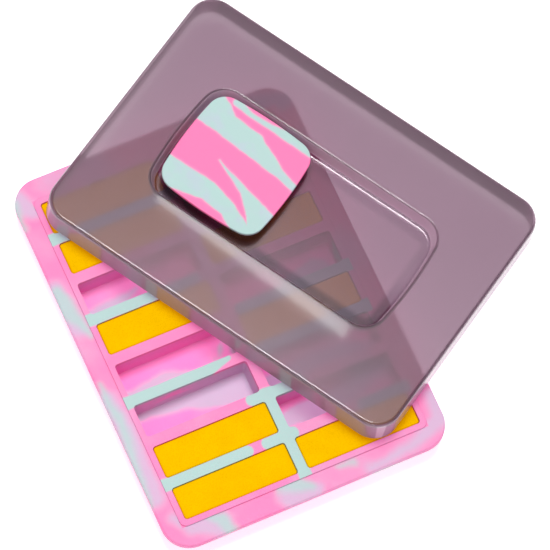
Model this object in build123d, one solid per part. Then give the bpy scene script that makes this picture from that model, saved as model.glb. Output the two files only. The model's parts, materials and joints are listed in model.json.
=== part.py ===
from build123d import *
import os
from math import radians, sin

os.makedirs("parts", exist_ok=True)

# ---------------------------------------------------------------------------
# Wet palette: a silicone well tray, sponges in half of its wells, a clear lid
# lying askew on the tray, and a square water cup parked in the lid's pocket.
# The askew lid leans on the tray's edge and on the underside of its pocket.
# Frame: origin at the centre of the tray's underside, +Z up, tray long along Y.
# Row 1 is at +Y, the left column is at -X. All sizes in millimetres.
# ---------------------------------------------------------------------------

# Tray
TRAY_LENGTH = 200.0
TRAY_WIDTH = 147.4
TRAY_CORNER = 14.0
FLANGE_TOP = 15.7
FLANGE_THICK = 4.0
FLANGE_EDGE = 1.0
BLOCK_TOP = 16.5
BLOCK_MARGIN = 3.0
BLOCK_EDGE = 0.4
BLOCK_CORNER = 3.5
BODY_DRAFT = 1.2
BODY_FOOT_EDGE = 1.2

# Wells
WELL_ROWS = 8
WELL_LENGTH = 59.2
WELL_WIDTH = 16.9
WELL_CORNER = 1.6
WELL_DEPTH = 14.0
WELL_DRAFT = 0.7
WELL_FLOOR_EDGE = 0.8
ROW_PITCH = 22.3
COLUMN_GAP = 5.1
COLUMNS = {"l": -1, "r": 1}

# Sponges
SPONGE_ROWS = {"l": (1, 2, 4, 7, 8), "r": (3, 5, 8)}
SPONGE_GAP = 0.2
SPONGE_BELOW_TOP = 0.5
SPONGE_EDGE = 0.7

# Lid
LID_LENGTH = 201.3
LID_WIDTH = 144.3
LID_CORNER = 13.0
LID_HEIGHT = 15.0
LID_WALL = 1.6
LID_DRAFT = 0.4
LID_TOP_EDGE = 2.0
LID_RIM_EDGE = 0.4

# Where the lid lies: it leans over the tray's edge, near side up
LID_CENTRE = (47.3, 32.0)
LID_TURN = -58.7
LID_TILT = 3.5
LID_LEAN_LINE = 25.0

# Pocket in the lid, long along the lid
POCKET_LENGTH = 135.6
POCKET_WIDTH = 66.4
POCKET_CENTRE = (-0.5, 0.9)
POCKET_DEPTH = 8.6
POCKET_BULGE = 2.8
POCKET_CORNER = 11.5
POCKET_DRAFT = 1.5
POCKET_FLOOR_EDGE = 1.6
POCKET_MOUTH_EDGE = 1.0
POCKET_FLOOR = 1.6

# Water cup, mouth down in the pocket: a broad base plate over a narrower wall
CUP_SIDE = 59.4
CUP_BULGE = 1.9
CUP_CORNER = 9.8
CUP_BASE = 2.0
CUP_BASE_EDGE = 0.6
CUP_PROUD = 0.2
CUP_INSET = 3.6
CUP_WALL = 2.0
CUP_LIP_EDGE = 0.8
CUP_CENTRE = (-35.3, 2.3)


def row_y(row):
    """Centre of a row of wells along Y."""
    return ((WELL_ROWS + 1) / 2 - row) * ROW_PITCH


def column_x(side):
    """Centre of a column of wells along X."""
    return side * (COLUMN_GAP + WELL_LENGTH) / 2


def bowed_outline(length, width, bow_x, bow_y, radius):
    """Rounded rectangle whose sides bow outwards at their middles.

    length and width are taken at the middles of the sides.
    """
    x = length / 2
    y = width / 2
    xc = x - bow_x
    yc = y - bow_y
    corners = [(-xc, -yc), (xc, -yc), (xc, yc), (-xc, yc)]
    middles = [(0, -y), (x, 0), (0, y), (-x, 0)]
    bows = [bow_y, bow_x, bow_y, bow_x]
    sides = []
    for i in range(4):
        start = corners[i]
        end = corners[(i + 1) % 4]
        if bows[i] > 0:
            sides.append(ThreePointArc(start, middles[i], end))
        else:
            sides.append(Line(start, end))
    face = make_face(sides)
    return fillet(face.vertices(), radius)


def rounded_outline(length, width, radius):
    """Plain rounded rectangle, length along X."""
    return RectangleRounded(length, width, radius)


def between(lower, lower_z, upper, upper_z):
    """Solid that blends one flat outline into another above it."""
    return loft([Pos(0, 0, lower_z) * lower, Pos(0, 0, upper_z) * upper], ruled=True)


def edges_at(solid, z):
    """Edges that lie wholly in one level plane."""
    return solid.edges().filter_by_position(Axis.Z, z - 0.01, z + 0.01)


def well_hollow():
    """One tapered well, its mouth at the block's top, centred on the origin."""
    floor_z = BLOCK_TOP - WELL_DEPTH
    lower = rounded_outline(WELL_LENGTH - 2 * WELL_DRAFT, WELL_WIDTH - 2 * WELL_DRAFT, WELL_CORNER)
    upper = rounded_outline(WELL_LENGTH, WELL_WIDTH, WELL_CORNER)
    hollow = between(lower, floor_z, upper, BLOCK_TOP)
    return fillet(edges_at(hollow, floor_z), WELL_FLOOR_EDGE)


def make_tray():
    """Flange, the block that hangs from it, and the wells."""
    flange = Pos(0, 0, FLANGE_TOP - FLANGE_THICK) * extrude(
        rounded_outline(TRAY_WIDTH, TRAY_LENGTH, TRAY_CORNER), FLANGE_THICK
    )
    flange = fillet(edges_at(flange, FLANGE_TOP), FLANGE_EDGE)
    flange = fillet(edges_at(flange, FLANGE_TOP - FLANGE_THICK), FLANGE_EDGE)
    block_x = 2 * WELL_LENGTH + COLUMN_GAP + 2 * BLOCK_MARGIN
    block_y = (WELL_ROWS - 1) * ROW_PITCH + WELL_WIDTH + 2 * BLOCK_MARGIN
    top_outline = rounded_outline(block_x, block_y, BLOCK_CORNER)
    foot_outline = rounded_outline(block_x - 2 * BODY_DRAFT, block_y - 2 * BODY_DRAFT, BLOCK_CORNER)
    body = between(foot_outline, 0, top_outline, FLANGE_TOP - FLANGE_THICK / 2)
    body = fillet(edges_at(body, 0), BODY_FOOT_EDGE)
    raised = Pos(0, 0, FLANGE_TOP - FLANGE_THICK / 2) * extrude(
        top_outline, BLOCK_TOP - FLANGE_TOP + FLANGE_THICK / 2
    )
    raised = fillet(edges_at(raised, BLOCK_TOP), BLOCK_EDGE)
    tray = flange + body + raised
    hollow = well_hollow()
    for side in COLUMNS.values():
        for row in range(1, WELL_ROWS + 1):
            tray -= Pos(column_x(side), row_y(row), 0) * hollow
    return tray


def make_sponge():
    """Sponge block that fills one well, centred on the origin."""
    floor_z = BLOCK_TOP - WELL_DEPTH
    top_z = BLOCK_TOP - SPONGE_BELOW_TOP
    low_x = WELL_LENGTH - 2 * WELL_DRAFT - 2 * SPONGE_GAP
    low_y = WELL_WIDTH - 2 * WELL_DRAFT - 2 * SPONGE_GAP
    rise = 2 * WELL_DRAFT * (top_z - floor_z) / WELL_DEPTH
    lower = rounded_outline(low_x, low_y, WELL_CORNER)
    upper = rounded_outline(low_x + rise, low_y + rise, WELL_CORNER)
    block = between(lower, floor_z, upper, top_z)
    block = fillet(edges_at(block, top_z), SPONGE_EDGE)
    return fillet(edges_at(block, floor_z), SPONGE_EDGE)


def pocket_solid(grow, depth, floor_edge):
    """The pocket's shape below the lid's top, its walls moved outwards by grow."""
    mouth = bowed_outline(
        POCKET_LENGTH + 2 * grow, POCKET_WIDTH + 2 * grow, POCKET_BULGE, 0, POCKET_CORNER + grow
    )
    floor = bowed_outline(
        POCKET_LENGTH + 2 * grow - 2 * POCKET_DRAFT,
        POCKET_WIDTH + 2 * grow - 2 * POCKET_DRAFT,
        POCKET_BULGE,
        0,
        POCKET_CORNER + grow,
    )
    floor_z = LID_HEIGHT - depth
    solid = between(floor, floor_z, mouth, LID_HEIGHT)
    solid = fillet(edges_at(solid, floor_z), floor_edge)
    return Pos(POCKET_CENTRE[0], POCKET_CENTRE[1], 0) * solid


def near_pocket(edge):
    """True for an edge of the pocket's mouth rather than of the lid's outline."""
    middle = edge.center()
    return abs(middle.X) < POCKET_LENGTH / 2 + 1 and abs(middle.Y) < POCKET_WIDTH / 2 + 3


def make_lid():
    """Thin moulded lid, rim at z = 0, with the pocket sunk in its top."""
    rim = rounded_outline(LID_LENGTH, LID_WIDTH, LID_CORNER)
    top = rounded_outline(LID_LENGTH - 2 * LID_DRAFT, LID_WIDTH - 2 * LID_DRAFT, LID_CORNER)
    shell = between(rim, 0, top, LID_HEIGHT)
    shell = fillet(edges_at(shell, LID_HEIGHT), LID_TOP_EDGE)
    shell = fillet(edges_at(shell, 0), LID_RIM_EDGE)
    rim_in = rounded_outline(
        LID_LENGTH - 2 * LID_WALL, LID_WIDTH - 2 * LID_WALL, LID_CORNER - LID_WALL
    )
    top_in = rounded_outline(
        LID_LENGTH - 2 * LID_WALL - 2 * LID_DRAFT,
        LID_WIDTH - 2 * LID_WALL - 2 * LID_DRAFT,
        LID_CORNER - LID_WALL,
    )
    hollow = between(rim_in, 0, top_in, LID_HEIGHT - LID_WALL)
    hollow = fillet(edges_at(hollow, LID_HEIGHT - LID_WALL), LID_TOP_EDGE - LID_WALL)
    tub = pocket_solid(LID_WALL, POCKET_DEPTH + POCKET_FLOOR, POCKET_FLOOR_EDGE + LID_WALL)
    hollow -= tub
    lid = shell - hollow
    lid -= pocket_solid(0, POCKET_DEPTH, POCKET_FLOOR_EDGE)
    mouth = [edge for edge in edges_at(lid, LID_HEIGHT) if near_pocket(edge)]
    return fillet(mouth, POCKET_MOUTH_EDGE)


def cup_outline(inset):
    """The cup's square outline with bowed sides, moved inwards by inset."""
    side = CUP_SIDE - 2 * inset
    return bowed_outline(side, side, CUP_BULGE, CUP_BULGE, CUP_CORNER - inset / 2)


def make_cup():
    """Shallow square cup standing on its lip, its broad flat base uppermost."""
    height = POCKET_DEPTH + CUP_PROUD
    plate = Pos(0, 0, height - CUP_BASE) * extrude(cup_outline(0), CUP_BASE)
    plate = fillet(edges_at(plate, height), CUP_BASE_EDGE)
    plate = fillet(edges_at(plate, height - CUP_BASE), CUP_BASE_EDGE)
    wall = extrude(cup_outline(CUP_INSET), height - CUP_BASE / 2)
    wall = fillet(edges_at(wall, 0), CUP_LIP_EDGE)
    hollow = extrude(cup_outline(CUP_INSET + CUP_WALL), height - CUP_BASE)
    return plate + wall - hollow


def save(name, solid):
    """Write one named piece to its own file."""
    solid.label = name
    export_step(solid, f"parts/{name}.step")


lean_height = FLANGE_TOP - LID_LEAN_LINE * sin(radians(LID_TILT))
lid_place = Pos(LID_CENTRE[0], LID_CENTRE[1], lean_height) * Rot(0, 0, LID_TURN) * Rot(-LID_TILT, 0, 0)

save("tray", make_tray())

sponge = make_sponge()
for column, rows in SPONGE_ROWS.items():
    for row in rows:
        seat = Pos(column_x(COLUMNS[column]), row_y(row), 0)
        save(f"sponge_{column}{row}", seat * sponge)

save("lid", lid_place * make_lid())

cup_seat = Pos(CUP_CENTRE[0], CUP_CENTRE[1], LID_HEIGHT - POCKET_DEPTH)
save("water_cup", lid_place * cup_seat * make_cup())
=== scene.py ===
"""Wet palette: marbled silicone tray, sponge strips, smoky lid and square water cup."""

import json
import math

import bpy
import bmesh
from mathutils import Matrix, Vector, noise


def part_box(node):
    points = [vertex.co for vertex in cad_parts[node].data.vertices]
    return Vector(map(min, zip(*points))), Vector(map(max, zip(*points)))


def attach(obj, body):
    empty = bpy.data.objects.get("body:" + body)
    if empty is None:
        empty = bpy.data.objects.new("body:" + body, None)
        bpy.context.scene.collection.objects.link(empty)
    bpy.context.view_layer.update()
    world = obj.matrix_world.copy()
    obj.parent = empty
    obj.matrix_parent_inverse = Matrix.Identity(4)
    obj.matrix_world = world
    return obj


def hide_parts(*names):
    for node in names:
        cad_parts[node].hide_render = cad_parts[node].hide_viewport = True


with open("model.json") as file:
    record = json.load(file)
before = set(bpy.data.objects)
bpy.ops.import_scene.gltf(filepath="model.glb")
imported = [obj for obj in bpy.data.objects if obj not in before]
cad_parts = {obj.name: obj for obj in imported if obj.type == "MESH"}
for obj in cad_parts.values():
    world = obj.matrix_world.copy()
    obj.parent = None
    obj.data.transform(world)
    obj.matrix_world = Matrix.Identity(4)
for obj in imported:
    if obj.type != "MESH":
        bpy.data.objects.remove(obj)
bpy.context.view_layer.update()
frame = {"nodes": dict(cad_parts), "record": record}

MM = 0.001

# Camera: a long lens high over the near left corner of the tray
CAMERA_AZIMUTH = -35.80
CAMERA_ELEVATION = 70.32
CAMERA_ROLL = 12.06
CAMERA_DISTANCE = 2.343
CAMERA_LENS = 315.6
CAMERA_TARGET = (0.03133, 0.01317, 0.0017)

# How the lid lies, and where the cup sits in its pocket
LID_CENTRE = (47.3 * MM, 32.0 * MM)
LID_TURN = math.radians(-58.7)
LID_TILT = math.radians(3.5)
LID_LEVEL = 14.17 * MM
LID_HALF = (100.65 * MM, 72.15 * MM)
LID_TOP = 15.0 * MM

# The pocket's floor outline, in the lid's own frame
POCKET_MIDDLE = (-0.5 * MM, 0.9 * MM)
POCKET_HALF = (66.8 * MM, 31.6 * MM)
POCKET_CORNER = 10.0 * MM
POCKET_FLOOR = 6.4 * MM

# Lamp mirrored beside the pocket's near edge: its image on the lid's top
GLEAM_LENGTH = 112 * MM
GLEAM_WIDTH = 7.0 * MM
GLEAM_OFFSET = 35.2 * MM
GLEAM_SLANT = math.radians(2.6)
GLEAM_DISTANCE = 0.45
GLEAM_POWER = 0.038

# Foam strips
FOAM_GROWTH = 0.05 * MM
FOAM_TAPER = 0.70 * MM
FOAM_CORNER = 1.6 * MM
FOAM_EDGE = 0.6 * MM
FOAM_CELL = 1.0 * MM
FOAM_LIFT = 0.03 * MM
FOAM_SKIN = 1.5 * MM
CUP_CENTRE = (-35.3 * MM, 2.3 * MM)

# Colours, linear
PINK = (0.86, 0.21, 0.46)
# Brighter, bluer pink for the wells: painted light against the shade in them
WELL_PINK_PAINTED_LIGHT = (0.97, 0.24, 0.60)
CUP_PINK = (0.88, 0.18, 0.40)
MINT = (0.40, 0.56, 0.54)
LAVENDER = (0.58, 0.43, 0.60)
# Bluer lavender for the well floors: painted light against the shade in them
WELL_PALE_PAINTED_LIGHT = (0.54, 0.49, 0.62)
YELLOW = (0.86, 0.47, 0.0)
SMOKE = (0.237, 0.168, 0.208)
# Pale tint for the pocket's upright walls: partly frost, partly painted light standing in for lit
# walls
SMOKE_WALL_PAINTED_LIGHT = (0.62, 0.47, 0.56)
SMOKE_SKIRT = (0.33, 0.235, 0.295)
LAMP_THROUGH_LID = (0.78, 0.64, 0.74)

# Tray heights and the block that holds the wells
BLOCK_HALF = (64.7 * MM, 89.4 * MM)
RIM_LEVEL = 14.0 * MM
FLOOR_LEVEL = 9.0 * MM

# Streaks: runs of (x, y, half width) in mm, drawn over the pink
RIM_MINT = [
    [(-73, 92, 2.5), (-74, 78, 1.5)],
    [(-71, 42, 2.5), (-69.5, 31, 4.5), (-66, 17, 1.2)],
    [(-72, -8, 1.0), (-71, -26, 2.4), (-73, -50, 2.0), (-74, -74, 1.0)],
    [(-52, -88, 0.8), (-45, -93, 3.2), (-43, -99, 3.0)],
    [(-13, -89, 1.5), (-6, -90, 3.6), (0, -94, 2.0)],
    [(17, -90.5, 0.8), (24, -91.5, 1.4)],
    [(20, 95, 4.0), (45, 92, 2.0)],
]
RIM_LAVENDER = [
    [(-71, 94, 6.0), (-66, 84, 4.0)],
    [(-72, 44, 4.0), (-70, 22, 5.0)],
    [(-71, -16, 4.0), (-71, -46, 5.0), (-70, -72, 4.5)],
    [(-66, -84, 2.5), (-60, -90, 5.0), (-46, -95, 6.0)],
    [(-10, -94, 6.0), (2, -97, 4.0)],
    [(30, -97, 2.0), (52, -95, 3.0), (70, -88, 5.0), (73, -74, 3.0)],
    [(40, 96, 6.0), (70, 90, 5.0)],
]
DIVIDER_MINT = [
    [(-66, 67, 3.2), (66, 67, 3.2)],
    [(-66, 22.5, 3.2), (-8, 22.5, 3.0)],
    [(6, 0, 3.2), (66, 0, 3.2)],
    [(-66, -22.5, 3.2), (-22, -22.5, 3.2), (-10, -20.5, 1.6)],
    [(8, -22.5, 3.2), (66, -22.5, 3.2)],
    [(-66, -67, 3.2), (-21, -67, 3.2)],
    [(-10, -67, 3.2), (3, -67, 3.4)],
    [(-8, -44.6, 3.2), (17, -44.6, 3.2)],
    [(0, -47, 3.4), (0, -92, 3.4)],
    [(40, -67, 3.2), (66, -67, 3.0)],
]
WALL_LAVENDER = [
    [(-62, -24.8, 2.0), (-4, -24.8, 2.0), (-3, -40, 2.0)],
    [(4, 42, 2.0), (62, 42, 2.0)],
]
WELL_LAVENDER = [
    [(-62, 26, 5.0), (-46, 28, 4.0), (-34, 32, 1.0)],
    [(-62, -17, 5.0), (-40, -14, 3.0), (-24, -17, 0.6)],
    [(-62, -27, 2.0), (-36, -29, 5.0), (-4, -33, 8.0)],
    [(4, 62, 8.0), (40, 70, 5.0)],
    [(20, 40, 4.0), (62, 46, 7.0)],
    [(5, -8, 4.0), (50, 6, 8.0)],
    [(4, -40, 7.0), (30, -34, 5.0), (60, -36, 2.0)],
    [(4, -56, 4.0), (28, -58, 7.0), (60, -50, 3.0)],
]
CUP_MINT = [
    [(-33, 20.0, 10.6), (-24, 18.0, 8.6), (-16, 15.7, 6.3), (0, 14.7, 6.3)],
    [(0, 14.7, 6.3), (10.5, 11.7, 4.2), (19, 9.6, 2.6), (31, 6.8, 1.9)],
    [(-33, -22.5, 9.0), (-4, -18.4, 5.2), (10, -20.8, 4.0), (26, -29, 4.5)],
    [(-8, -1.8, 0.2), (11, -8.6, 2.0), (22, -14.0, 5.4), (33, -22, 10.5)],
    [(-18, 28.2, 2.0), (-9, 27.0, 1.3), (2, 27.0, 1.3), (12, 28.4, 2.8), (28, 29.2, 3.6)],
]

tray_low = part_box("tray")[0]


# ---------------------------------------------------------------- node helpers

class Shader:
    """A material's node tree with short calls for the nodes used here."""

    def __init__(self, name):
        self.material = bpy.data.materials.new(name)
        self.material.use_nodes = True
        self.tree = self.material.node_tree
        self.tree.nodes.clear()
        self.output = self.tree.nodes.new("ShaderNodeOutputMaterial")

    def node(self, kind, **settings):
        made = self.tree.nodes.new("ShaderNode" + kind)
        for key, value in settings.items():
            setattr(made, key, value)
        return made

    def link(self, source, target):
        self.tree.links.new(source, target)

    def feed(self, socket, value):
        if isinstance(value, bpy.types.NodeSocket):
            self.link(value, socket)
        else:
            socket.default_value = value

    def object_coords(self):
        return self.node("TexCoord").outputs["Object"]

    def mapped(self, vector, location=(0, 0, 0), rotation=(0, 0, 0), scale=(1, 1, 1)):
        made = self.node("Mapping")
        self.feed(made.inputs["Vector"], vector)
        made.inputs["Location"].default_value = location
        made.inputs["Rotation"].default_value = rotation
        made.inputs["Scale"].default_value = scale
        return made.outputs["Vector"]

    def noise(self, vector, scale, detail=2.0, roughness=0.5, colour=False):
        made = self.node("TexNoise")
        self.feed(made.inputs["Vector"], vector)
        made.inputs["Scale"].default_value = scale
        made.inputs["Detail"].default_value = detail
        made.inputs["Roughness"].default_value = roughness
        return made.outputs["Color" if colour else "Fac"]

    def math(self, operation, a, b=0.0, c=0.0, clamp=False):
        made = self.node("Math", operation=operation, use_clamp=clamp)
        for socket, value in zip(made.inputs, (a, b, c)):
            self.feed(socket, value)
        return made.outputs[0]

    def vector(self, operation, a, b=(0, 0, 0)):
        made = self.node("VectorMath", operation=operation)
        self.feed(made.inputs[0], a)
        self.feed(made.inputs[1], b)
        return made.outputs["Value" if operation in ("DOT_PRODUCT", "LENGTH") else "Vector"]

    def scaled(self, vector, factor):
        made = self.node("VectorMath", operation="SCALE")
        self.feed(made.inputs[0], vector)
        self.feed(made.inputs["Scale"], factor)
        return made.outputs["Vector"]

    def split(self, vector):
        made = self.node("SeparateXYZ")
        self.feed(made.inputs[0], vector)
        return made.outputs

    def flat(self, vector):
        """The same point with z set to zero."""
        return self.vector("MULTIPLY", vector, (1, 1, 0))

    def ramp(self, value, low, high):
        made = self.node("MapRange", interpolation_type="SMOOTHSTEP")
        self.feed(made.inputs["Value"], value)
        made.inputs["From Min"].default_value = low
        made.inputs["From Max"].default_value = high
        return made.outputs["Result"]

    def mix(self, factor, a, b, blend="MIX"):
        made = self.node("Mix", data_type="RGBA", blend_type=blend)
        self.feed(made.inputs["Factor"], factor)
        sockets = [s for s in made.inputs if s.type == "RGBA"]
        for socket, value in zip(sockets, (a, b)):
            self.feed(socket, (*value, 1) if isinstance(value, tuple) else value)
        return [s for s in made.outputs if s.type == "RGBA"][0]

    def warped(self, vector, scale, amount, detail=2.0):
        """The point pushed about by slow noise, amount metres at most."""
        push = self.noise(vector, scale, detail=detail, colour=True)
        push = self.vector("SUBTRACT", push, (0.5, 0.5, 0.5))
        return self.vector("ADD", vector, self.scaled(push, amount * 2))

    def streak(self, point, start, end, soft):
        """1 inside one tapering streak between two (x, y, half width) ends, 0 outside."""
        a = Vector((start[0], start[1], 0)) * MM
        b = Vector((end[0], end[1], 0)) * MM
        along = b - a
        offset = self.vector("SUBTRACT", point, tuple(a))
        reach = self.vector("DOT_PRODUCT", offset, tuple(along / along.length_squared))
        reach = self.math("ADD", reach, 0.0, clamp=True)
        away = self.vector("SUBTRACT", offset, self.scaled(tuple(along), reach))
        distance = self.vector("LENGTH", away)
        width = self.math("MULTIPLY_ADD", reach, (end[2] - start[2]) * MM, start[2] * MM)
        inside = self.math("SUBTRACT", width, distance)
        return self.ramp(inside, -soft, soft)

    def streaks(self, point, runs, soft):
        """Union of many streaks, each a run of points."""
        mask = None
        for run in runs:
            for start, end in zip(run, run[1:]):
                part = self.streak(point, start, end, soft)
                mask = part if mask is None else self.math("MAXIMUM", mask, part)
        return mask

    def bump(self, height, strength, distance, normal=None):
        made = self.node("Bump")
        made.inputs["Strength"].default_value = strength
        made.inputs["Distance"].default_value = distance
        self.feed(made.inputs["Height"], height)
        if normal is not None:
            self.feed(made.inputs["Normal"], normal)
        return made.outputs["Normal"]

    def principled(self, **values):
        made = self.node("BsdfPrincipled")
        for key, value in values.items():
            socket = made.inputs[key.replace("_", " ")]
            if isinstance(value, tuple) and len(value) == 3 and socket.type == "RGBA":
                value = (*value, 1)
            self.feed(socket, value)
        return made

    def finish(self, shader):
        self.link(shader.outputs[0], self.output.inputs["Surface"])
        return self.material


# ------------------------------------------------------------------- materials

def silicone(name, colour_of):
    """Soft matte silicone with a very fine skin and slow unevenness."""
    s = Shader(name)
    where = s.object_coords()
    colour = colour_of(s, where)
    normal = s.bump(s.noise(where, 1400), 0.12, 0.00012)
    normal = s.bump(s.noise(where, 60), 0.08, 0.0005, normal)
    rough = s.math("MULTIPLY_ADD", s.noise(where, 35, detail=3), 0.16, 0.42)
    shader = s.principled(
        Base_Color=colour, Roughness=rough, Normal=normal, IOR=1.41, Specular_IOR_Level=0.3,
        Subsurface_Weight=0.15, Subsurface_Scale=0.003,
    )
    shader.inputs["Subsurface Radius"].default_value = (1.0, 0.5, 0.6)
    return s.finish(shader)


def tray_marble(s, where):
    """Pink with mint and lavender: streaks on rim, dividers and well floors, swirls elsewhere."""
    x, y, z = s.split(where)[:]
    wide = s.flat(s.warped(where, 45, 0.0040, detail=3))
    fine = s.flat(s.warped(where, 70, 0.0012))
    rim = s.ramp(z, RIM_LEVEL - 0.0006, RIM_LEVEL + 0.0006)
    low = s.math("SUBTRACT", 1.0, s.ramp(z, FLOOR_LEVEL - 0.004, FLOOR_LEVEL + 0.003))
    out_x = s.ramp(s.math("ABSOLUTE", x), BLOCK_HALF[0] - 0.0002, BLOCK_HALF[0] + 0.0002)
    out_y = s.ramp(s.math("ABSOLUTE", y), BLOCK_HALF[1] - 0.0002, BLOCK_HALF[1] + 0.0002)
    border = s.math("MAXIMUM", out_x, out_y)
    on_rim = s.math("MULTIPLY", rim, border)
    on_block = s.math("MULTIPLY", rim, s.math("SUBTRACT", 1.0, border))
    in_well = s.math("MULTIPLY", low, s.math("SUBTRACT", 1.0, border))

    swirl = s.noise(s.warped(where, 20, 0.020), 26, detail=3)
    pale = s.math("MULTIPLY", s.ramp(swirl, 0.40, 0.75), 0.55)
    sunk = s.math("MULTIPLY", s.math("SUBTRACT", 1.0, rim), s.math("SUBTRACT", 1.0, border))
    # Below the rim the wells take brighter, bluer pink and lavender, painted light that offsets
    # their shade
    base = s.mix(sunk, PINK, WELL_PINK_PAINTED_LIGHT)
    colour = s.mix(pale, base, LAVENDER)
    mint_swirl = s.math("MULTIPLY", s.ramp(swirl, 0.60, 0.68), s.math("SUBTRACT", 1.0, rim))
    colour = s.mix(s.math("MULTIPLY", mint_swirl, 0.8), colour, MINT)

    haze = s.math("MULTIPLY", s.streaks(wide, RIM_LAVENDER, 0.0032), on_rim)
    floor = s.math("MULTIPLY", s.streaks(wide, WELL_LAVENDER, 0.0020), in_well)
    walls = s.math("MULTIPLY", s.streaks(wide, WALL_LAVENDER, 0.0015), sunk)
    floor = s.math("MAXIMUM", floor, s.math("MULTIPLY", walls, 0.9))
    pale = s.math("MULTIPLY", s.math("MAXIMUM", haze, floor), 0.85)
    colour = s.mix(pale, colour, s.mix(sunk, LAVENDER, WELL_PALE_PAINTED_LIGHT))
    edge = s.math("MULTIPLY", s.streaks(wide, RIM_MINT, 0.0024), s.math("MULTIPLY", on_rim, 0.8))
    bars = s.math("MULTIPLY", s.streaks(fine, DIVIDER_MINT, 0.0005), on_block)
    return s.mix(s.math("MAXIMUM", edge, bars), colour, MINT)


def cup_marble(s, where):
    """Crisp mint swirls over pink, running the lid's long way."""
    shift = s.vector("SUBTRACT", where, (*LID_CENTRE, 0))
    turned = s.mapped(shift, rotation=(0, 0, -LID_TURN))
    local = s.vector("SUBTRACT", turned, (*CUP_CENTRE, 0))
    flow = s.flat(s.warped(local, 90, 0.0010))
    mint = s.streaks(flow, CUP_MINT, 0.0007)
    soft = s.streaks(flow, CUP_MINT, 0.0019)
    cloud = s.noise(local, 120, detail=2)
    tint = s.mix(s.ramp(cloud, 0.45, 0.7), MINT, (0.43, 0.53, 0.57))
    edge = s.mix(s.math("MULTIPLY", soft, 0.45), CUP_PINK, (0.75, 0.50, 0.62))
    return s.mix(mint, edge, tint)


def lid_point(s, where):
    """The same point in the lid's own frame: x its long way, z up from its rim."""
    shift = s.vector("SUBTRACT", where, (*LID_CENTRE, LID_LEVEL))
    turned = s.mapped(shift, rotation=(0, 0, -LID_TURN))
    return s.mapped(turned, rotation=(LID_TILT, 0, 0))


def pocket_edge(s, u, n):
    """Distance outside the pocket's rounded outline, negative within it."""
    reach_u = s.math("ABSOLUTE", s.math("SUBTRACT", u, POCKET_MIDDLE[0]))
    reach_n = s.math("ABSOLUTE", s.math("SUBTRACT", n, POCKET_MIDDLE[1]))
    reach_u = s.math("SUBTRACT", reach_u, POCKET_HALF[0] - POCKET_CORNER)
    reach_n = s.math("SUBTRACT", reach_n, POCKET_HALF[1] - POCKET_CORNER)
    far_u = s.math("MAXIMUM", reach_u, 0.0)
    far_n = s.math("MAXIMUM", reach_n, 0.0)
    square = s.math("ADD", s.math("MULTIPLY", far_u, far_u), s.math("MULTIPLY", far_n, far_n))
    inside = s.math("MINIMUM", s.math("MAXIMUM", reach_u, reach_n), 0.0)
    return s.math("SUBTRACT", s.math("ADD", s.math("SQRT", square), inside), POCKET_CORNER)


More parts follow.
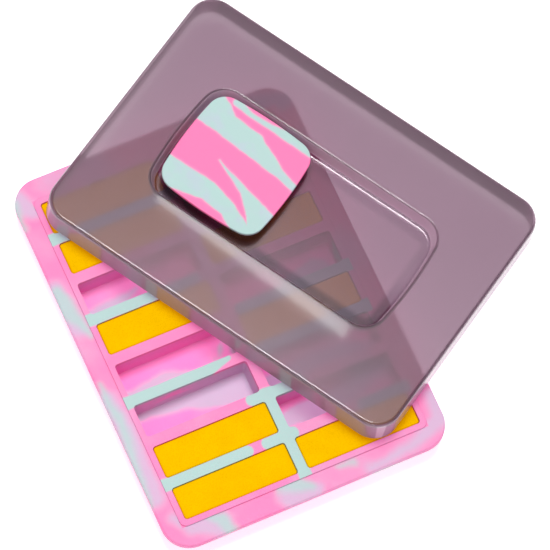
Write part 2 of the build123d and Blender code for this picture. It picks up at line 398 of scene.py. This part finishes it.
def smoky_plastic():
    """Tinted, lightly frosted plastic: clearer on the top, cloudier in the upright walls, whose
    pocket walls are painted pale as painted light, with painted shade along the pocket floor's
    edge.
    """
    s = Shader("smoky_lid")
    where = s.object_coords()
    u, n, w = s.split(lid_point(s, where))[:]
    beyond_u = s.math("SUBTRACT", s.math("ABSOLUTE", u), LID_HALF[0])
    beyond_n = s.math("SUBTRACT", s.math("ABSOLUTE", n), LID_HALF[1])
    outer = s.ramp(s.math("MAXIMUM", beyond_u, beyond_n), -0.0030, -0.0024)
    upright = s.math("ABSOLUTE", s.split(s.node("NewGeometry").outputs["True Normal"])[2])
    upright = s.math("SUBTRACT", 1.0, s.ramp(upright, 0.35, 0.75))
    skirt = s.math("MULTIPLY", outer, upright)
    cloud = s.noise(where, 18, detail=3)
    normal = s.bump(s.noise(where, 900, detail=1), 0.05, 0.0001)
    colour = s.mix(cloud, tuple(c * 0.95 for c in SMOKE), tuple(c * 1.05 for c in SMOKE))
    # Painted shade: a darker band along the pocket floor's edge, strongest on the near side and
    # faint towards the cup's end, stands in for the shade by the pocket's walls
    pocket_painted_shade = s.ramp(pocket_edge(s, u, n), -0.0085, -0.0045)
    in_floor = s.math("SUBTRACT", 1.0, s.ramp(w, POCKET_FLOOR + 0.0006, POCKET_FLOOR + 0.0016))
    in_floor = s.math("MULTIPLY", in_floor, s.math("SUBTRACT", 1.0, outer))
    near = s.math("SUBTRACT", 1.0, s.math("MULTIPLY", s.ramp(n, -0.026, 0.010), 0.75))
    near = s.math("MULTIPLY", near, s.math("MULTIPLY_ADD", s.ramp(u, -0.016, 0.0), 0.8, 0.2))
    pocket_painted_shade = s.math("MULTIPLY", s.math("MULTIPLY", pocket_painted_shade, in_floor), near)
    colour = s.mix(pocket_painted_shade, colour, tuple(c * k for c, k in zip(SMOKE, (0.40, 0.33, 0.44))))
    frost = s.math("MULTIPLY_ADD", s.ramp(w, 0.009, 0.012), 0.08, 0.21)
    clear = s.principled(
        Base_Color=colour, Roughness=frost, Transmission_Weight=0.93, IOR=1.33, Normal=normal,
        Coat_Weight=0.8, Coat_Roughness=0.05, Coat_IOR=1.45,
    )
    # Pocket walls get a pale tint, painted light over their frost; the outer skirt keeps a plain
    # smoky tone
    tint = s.mix(skirt, SMOKE_WALL_PAINTED_LIGHT, SMOKE_SKIRT)
    cloudy_wall_painted_light = s.principled(
        Base_Color=tint, Roughness=0.45, Transmission_Weight=0.2, IOR=1.33, Normal=normal,
        Coat_Weight=0.8, Coat_Roughness=0.05, Coat_IOR=1.45,
    )
    body = s.node("MixShader")
    s.link(upright, body.inputs[0])
    s.link(clear.outputs[0], body.inputs[1])
    s.link(cloudy_wall_painted_light.outputs[0], body.inputs[2])
    passing = s.node("BsdfTransparent")
    passing.inputs["Color"].default_value = (*LAMP_THROUGH_LID, 1)
    # Lamp light crosses the lid straight, so what lies beneath is lit evenly
    path = s.node("LightPath")
    lamp = s.math("MAXIMUM", path.outputs["Is Shadow Ray"], path.outputs["Is Diffuse Ray"])
    both = s.node("MixShader")
    s.link(lamp, both.inputs[0])
    s.link(body.outputs[0], both.inputs[1])
    s.link(passing.outputs[0], both.inputs[2])
    return s.finish(both)


def sponge_material():
    """Dyed fine sponge: tiny pores darkened inside as painted shade, and slow patches of tone."""
    s = Shader("yellow_sponge")
    where = s.object_coords()
    cells = s.node("TexVoronoi", feature="F1")
    s.feed(cells.inputs["Vector"], where)
    cells.inputs["Scale"].default_value = 1500
    pore = s.ramp(cells.outputs["Distance"], 0.05, 0.6)
    # Painted shade: pore centres darkened by a tenth
    pore_painted_shade = s.mix(pore, tuple(c * 0.90 for c in YELLOW), YELLOW)
    patch = s.ramp(s.noise(where, 110, detail=3), 0.3, 0.7)
    colour = s.mix(1.0, pore_painted_shade, s.mix(patch, (0.95, 0.94, 0.9), (1.0, 1.0, 1.0)), blend="MULTIPLY")
    normal = s.bump(pore, 0.3, 0.0002)
    normal = s.bump(s.noise(where, 2600), 0.25, 0.0002, normal)
    shader = s.principled(Base_Color=colour, Roughness=0.95, Normal=normal, Specular_IOR_Level=0.0)
    return s.finish(shader)


def floor_material():
    """White sweep that glows a little, so shadows on it stay faint."""
    s = Shader("pale_floor")
    cloud = s.noise(s.object_coords(), 3)
    colour = s.mix(cloud, (0.93, 0.93, 0.93), (0.95, 0.95, 0.95))
    shader = s.principled(Base_Color=colour, Roughness=0.9, Specular_IOR_Level=0.1)
    shader.inputs["Emission Color"].default_value = (1, 1, 1, 1)
    shader.inputs["Emission Strength"].default_value = 0.50
    return s.finish(shader)


# ---------------------------------------------------------------------- pieces

def wear(node, material):
    """Give a carried CAD node its material."""
    slots = frame["nodes"][node].data.materials
    slots.clear()
    slots.append(material)


def rounded_block(name, low, high, edge, cell):
    """Closed block with rounded edges, from a grid on each face, cell metres apart."""
    centre = (low + high) / 2
    half = (high - low) / 2
    core = Vector([h - edge for h in half])
    mesh = bmesh.new()
    counts = [max(2, round(2 * h / cell)) for h in half]
    seen = {}

    def corner(*key):
        if key not in seen:
            p = Vector([-half[a] + 2 * half[a] * key[a] / counts[a] for a in range(3)])
            inner = Vector([max(-core[a], min(core[a], p[a])) for a in range(3)])
            away = p - inner
            if away.length > 1e-9:
                p = inner + away.normalized() * edge
            seen[key] = mesh.verts.new(centre + p)
        return seen[key]

    for axis in range(3):
        i_axis, j_axis = (axis + 1) % 3, (axis + 2) % 3
        for level in (0, counts[axis]):
            for i in range(counts[i_axis]):
                for j in range(counts[j_axis]):
                    ring = []
                    for di, dj in ((0, 0), (1, 0), (1, 1), (0, 1)):
                        key = [0, 0, 0]
                        key[axis], key[i_axis], key[j_axis] = level, i + di, j + dj
                        ring.append(corner(*key))
                    mesh.faces.new(ring if level else ring[::-1])
    data = bpy.data.meshes.new(name)
    mesh.to_mesh(data)
    mesh.free()
    data.shade_smooth()
    obj = bpy.data.objects.new(name, data)
    bpy.context.scene.collection.objects.link(obj)
    return obj


def sponge_piece(node, body, look):
    """Foam strip that fills its well: tapered like the well, with a soft uneven top."""
    low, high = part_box(node)
    low.z += FOAM_LIFT
    fuller = Vector((FOAM_GROWTH, FOAM_GROWTH, 0))
    block = rounded_block(node + "_foam", low - fuller, high + fuller, FOAM_EDGE, FOAM_CELL)
    mid = (low + high) / 2
    core = (high - low) / 2 + fuller - Vector((FOAM_CORNER, FOAM_CORNER, 0))
    for v in block.data.vertices:
        over_x = abs(v.co.x - mid.x) - core.x
        over_y = abs(v.co.y - mid.y) - core.y
        over = math.hypot(over_x, over_y)
        if min(over_x, over_y) > 0 and over > FOAM_CORNER:
            inward = FOAM_CORNER / over
            v.co.x = mid.x + math.copysign(core.x + over_x * inward, v.co.x - mid.x)
            v.co.y = mid.y + math.copysign(core.y + over_y * inward, v.co.y - mid.y)
        down = (high.z - v.co.z) / (high.z - low.z)
        for axis in (0, 1):
            aside = v.co[axis] - mid[axis]
            v.co[axis] -= math.copysign(FOAM_TAPER * down, aside) * min(1, abs(aside) / 0.002)
        if v.co.z > high.z - FOAM_SKIN:
            rough = noise.fractal(v.co * 900, 1.0, 2.0, 2)
            slow = noise.noise(v.co * 90)
            v.co.z -= 0.04 * MM * (1 + rough) + 0.10 * MM * (1 + slow)
    block.data.materials.append(look)
    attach(block, body)
    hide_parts(node)


# ----------------------------------------------------------------- studio

def area_light(name, place, target, size, power, glossy_only=False):
    data = bpy.data.lights.new(name, "AREA")
    data.shape = "RECTANGLE"
    data.size, data.size_y = size
    data.energy = power
    obj = bpy.data.objects.new(name, data)
    obj.location = place
    direction = Vector(target) - Vector(place)
    obj.rotation_euler = direction.to_track_quat("-Z", "Y").to_euler()
    bpy.context.scene.collection.objects.link(obj)
    if glossy_only:
        obj.visible_camera = False
        obj.visible_diffuse = False
        obj.visible_transmission = False
    return obj


def studio():
    world = bpy.data.worlds.new("studio")
    bpy.context.scene.world = world
    world.use_nodes = True
    back = world.node_tree.nodes["Background"]
    back.inputs["Color"].default_value = (1, 1, 1, 1)
    back.inputs["Strength"].default_value = 0.42
    middle = (0.03, 0.01, 0)
    area_light("key", (0.15, 0.40, 2.2), middle, (0.8, 0.8), 42)
    area_light("fill", (-0.9, -0.9, 1.6), middle, (1.4, 1.4), 4)
    area_light("strip", (-0.95, -0.62, 0.9), middle, (1.6, 0.10), 6, glossy_only=True)
    lid_gleam()
    data = bpy.data.meshes.new("floor")
    span = 6.0
    corners = [(-span, -span, 0), (span, -span, 0), (span, span, 0), (-span, span, 0)]
    data.from_pydata(corners, [], [(0, 1, 2, 3)])
    floor = bpy.data.objects.new("floor", data)
    floor.location.z = tray_low.z - 0.0001
    bpy.context.scene.collection.objects.link(floor)
    data.materials.append(floor_material())
    bpy.context.scene.view_settings.view_transform = "Standard"


def view_axes():
    """The camera's right, up and forward directions, and where it stands."""
    a, e, r = (math.radians(v) for v in (CAMERA_AZIMUTH, CAMERA_ELEVATION, CAMERA_ROLL))
    forward = Vector((-math.sin(a) * math.cos(e), math.cos(a) * math.cos(e), -math.sin(e)))
    level = Vector((math.cos(a), math.sin(a), 0))
    up = level.cross(forward)
    right = level * math.cos(r) + up * math.sin(r)
    up = up * math.cos(r) - level * math.sin(r)
    return right, up, forward, Vector(CAMERA_TARGET) - forward * CAMERA_DISTANCE


def lid_gleam():
    """Narrow lamp mirrored in the lid's flat top, beside the pocket's near edge."""
    turn = Matrix.Rotation(LID_TURN, 3, "Z") @ Matrix.Rotation(-LID_TILT, 3, "X")
    along, across, out = (turn.col[i].copy() for i in range(3))
    spot = Vector((*LID_CENTRE, LID_LEVEL)) - across * GLEAM_OFFSET + out * LID_TOP
    bounce = (spot - view_axes()[3]).normalized().reflect(out)
    slant = along - across * math.tan(GLEAM_SLANT)
    x = (slant - bounce * slant.dot(bounce)).normalized()
    spread = (CAMERA_DISTANCE + GLEAM_DISTANCE) / CAMERA_DISTANCE
    size = (GLEAM_LENGTH * spread, GLEAM_WIDTH * spread)
    lamp = area_light("gleam", spot, spot + out, size, GLEAM_POWER, glossy_only=True)
    facing = Matrix((x, bounce.cross(x), bounce)).transposed().to_4x4()
    lamp.matrix_world = Matrix.Translation(spot + bounce * GLEAM_DISTANCE) @ facing


def camera():
    data = bpy.data.cameras.new("camera")
    data.lens = CAMERA_LENS
    data.clip_end = 20
    obj = bpy.data.objects.new("camera", data)
    right, up, forward, place = view_axes()
    turn = Matrix((right, up, -forward)).transposed().to_4x4()
    obj.matrix_world = Matrix.Translation(place) @ turn
    bpy.context.scene.collection.objects.link(obj)
    bpy.context.scene.camera = obj


def main():
    wear("tray", silicone("tray_silicone", tray_marble))
    wear("lid", smoky_plastic())
    wear("water_cup", silicone("cup_silicone", cup_marble))
    foam = sponge_material()
    bodies = frame["record"]["behaviour"]["bodies"]
    body_of = {node: body for body, nodes in bodies.items() for node in nodes}
    for node in sorted(body_of):
        if node.startswith("sponge"):
            sponge_piece(node, body_of[node], foam)
    studio()
    camera()


main()
